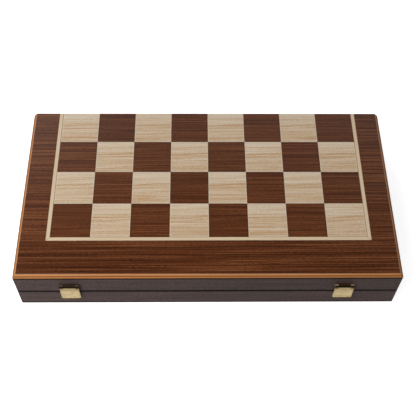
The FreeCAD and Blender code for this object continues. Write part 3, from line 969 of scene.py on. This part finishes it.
def screw_group(name, node_name, body, axis, head_shares):
    """All heads of one node as one piece, each turned to a slot angle of its own."""
    foot_share, height_share, crown_share = head_shares
    points, faces, start = [], [], 0
    along = int(np.argmax(np.abs(axis)))
    across = [i for i in range(3) if i != along]
    aim_axis = Vector(axis).to_track_quat("Z", "Y").to_matrix()
    for low, high in head_places(nodes[node_name]):
        size = high - low
        rim = size[across].max() / 2
        deep = size[along]
        grid = head_surface(rim, rim * foot_share, deep * height_share, deep * crown_share,
                            rim * slot_width_share, deep * slot_depth_share)
        turn_slot = Matrix.Rotation(rng.uniform(0, np.pi), 3, "Z")
        seat = (low + high) / 2
        seat[along] = low[along] if axis[along] > 0 else high[along]
        points.append(grid.reshape(-1, 3) @ np.array(aim_axis @ turn_slot).T + seat)
        faces.append(grid_faces(*grid.shape[:2]) + start)
        start += len(points[-1])
    mesh = joined_mesh(name, points, faces)
    mesh.materials.append(screw_brass)
    piece = bpy.data.objects.new(name, mesh)
    bpy.context.scene.collection.objects.link(piece)
    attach(piece, body)
    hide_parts(node_name)
    print(name, len(mesh.polygons), "faces")


# Shares of a head: its foot by the rim's radius, then its wall and its crown by the whole height.
round_head = (1.0, 0.6, 0.4)
sunk_head = (0.46, 1.0, 0.0)
to_front = (0.0, -1.0, 0.0)
to_lid = (0.0, 0.0, 1.0)
to_base = (0.0, 0.0, -1.0)
screw_group("slotted_lid_latch_screws", "lid_latch_screws", "lid", to_front, round_head)
screw_group("slotted_base_latch_screws", "base_latch_screws", "base", to_front, round_head)
screw_group("slotted_base_hinge_screws", "base_hinge_screws", "base", to_lid, sunk_head)
screw_group("slotted_lid_hinge_screws", "lid_hinge_screws", "lid", to_base, sunk_head)

# %% [markdown]
# ## Floor
#
# The case lies on a plain white table. White could be had from strong lamps, but they would bleach the
# wood. So the floor has a pale colour of its own and a faint glow that only cameras and reflections see,
# and it still takes the shadow. Towards the wood it throws back less light than a white table would, or
# the rails above the latches would lie in a shadow from below.

# %% Floor
floor_half = 15.0
floor_drop = 0.0003
floor_pale = grey(0.86)
floor_to_wood = grey(0.35)
floor_glow = 0.72

floor_mesh = bpy.data.meshes.new("floor")
floor_mesh.from_pydata([(-floor_half, -floor_half, -floor_drop), (floor_half, -floor_half, -floor_drop),
                        (floor_half, floor_half, -floor_drop), (-floor_half, floor_half, -floor_drop)],
                       [], [(0, 1, 2, 3)])
floor = bpy.data.objects.new("floor", floor_mesh)
bpy.context.scene.collection.objects.link(floor)

floor_material = bpy.data.materials.new("floor")
floor_material.use_nodes = True
floor_tree = floor_material.node_tree
floor_tree.nodes.remove(floor_tree.nodes["Principled BSDF"])
path = add(floor_tree, "LightPath").outputs
thrown_back = lay_over(floor_tree, path["Is Diffuse Ray"], floor_pale, floor_to_wood)
pale = add(floor_tree, "BsdfDiffuse", {"Color": thrown_back})
seen = sum_of(floor_tree, "MAXIMUM", path["Is Camera Ray"],
              sum_of(floor_tree, "MAXIMUM", path["Is Glossy Ray"], path["Is Transmission Ray"]))
strength = sum_of(floor_tree, "MULTIPLY", seen, floor_glow)
glow = add(floor_tree, "Emission", {"Color": grey(1.0), "Strength": strength})
both = add(floor_tree, "AddShader", {0: pale.outputs[0], 1: glow.outputs[0]})
floor_tree.links.new(both.outputs[0], floor_tree.nodes["Material Output"].inputs["Surface"])
floor_mesh.materials.append(floor_material)
print("floor", 2 * floor_half, "m wide")

# %% [markdown]
# ## Light
#
# The case stands in plain soft studio light. An even white sky would do, but it would lay a haze over all
# of the varnish. So the sky is white behind the case up to a good height, like a studio wall, and black
# above and nearly black in front. The varnish has a faint haze at the rear of the lid only, and the brass
# has something dark to reflect. One large lamp stands at the left in front, one at the left behind, a
# soft one lights the front rails, and a small low one adds to their left end.

# %% World and lamps
sky_heights = [(0.0, grey(1.0)), (0.755, grey(1.0)), (0.835, grey(0.0))]
front_edge = -0.35
back_edge = 0.30
front_strength = 0.05
back_strength = 1.0

world = bpy.data.worlds.new("studio")
bpy.context.scene.world = world
world.use_nodes = True
sky_tree = world.node_tree
background = sky_tree.nodes["Background"]
direction = add(sky_tree, "SeparateXYZ", {"Vector": add(sky_tree, "TexCoord").outputs["Generated"]}).outputs
sky_tree.links.new(ramp(sky_tree, direction["Z"], sky_heights), background.inputs["Color"])
towards_back = spread(sky_tree, direction["Y"], front_edge, back_edge, front_strength, back_strength)
sky_tree.links.new(towards_back, background.inputs["Strength"])


def soft_lamp(name, place, target, size, power):
    """A square area lamp at place, turned to target, that the camera itself doesn't see."""
    lamp = bpy.data.lights.new(name, "AREA")
    lamp.size = size
    lamp.energy = power
    holder = bpy.data.objects.new(name, lamp)
    holder.visible_camera = False
    bpy.context.scene.collection.objects.link(holder)
    look = Vector(target) - Vector(place)
    holder.matrix_world = Matrix.Translation(place) @ look.to_track_quat("-Z", "Y").to_matrix().to_4x4()


middle_of_case = (0.0, 0.0, closing_line)
front_rails = (0.0, -0.13, 0.04)
left_end = (-0.20, -0.13, 0.04)
soft_lamp("key_left_front", (-1.3, -0.9, 1.7), middle_of_case, size=1.4, power=33.4)
soft_lamp("rim_left_back", (-1.2, 1.7, 1.6), middle_of_case, size=1.4, power=5.0)
soft_lamp("low_left", (-0.40, -0.55, 0.25), left_end, size=0.3, power=1.2)
soft_lamp("fill_front", (0.0, -1.25, 0.55), front_rails, size=0.8, power=3.2)
print("sky and four lamps")
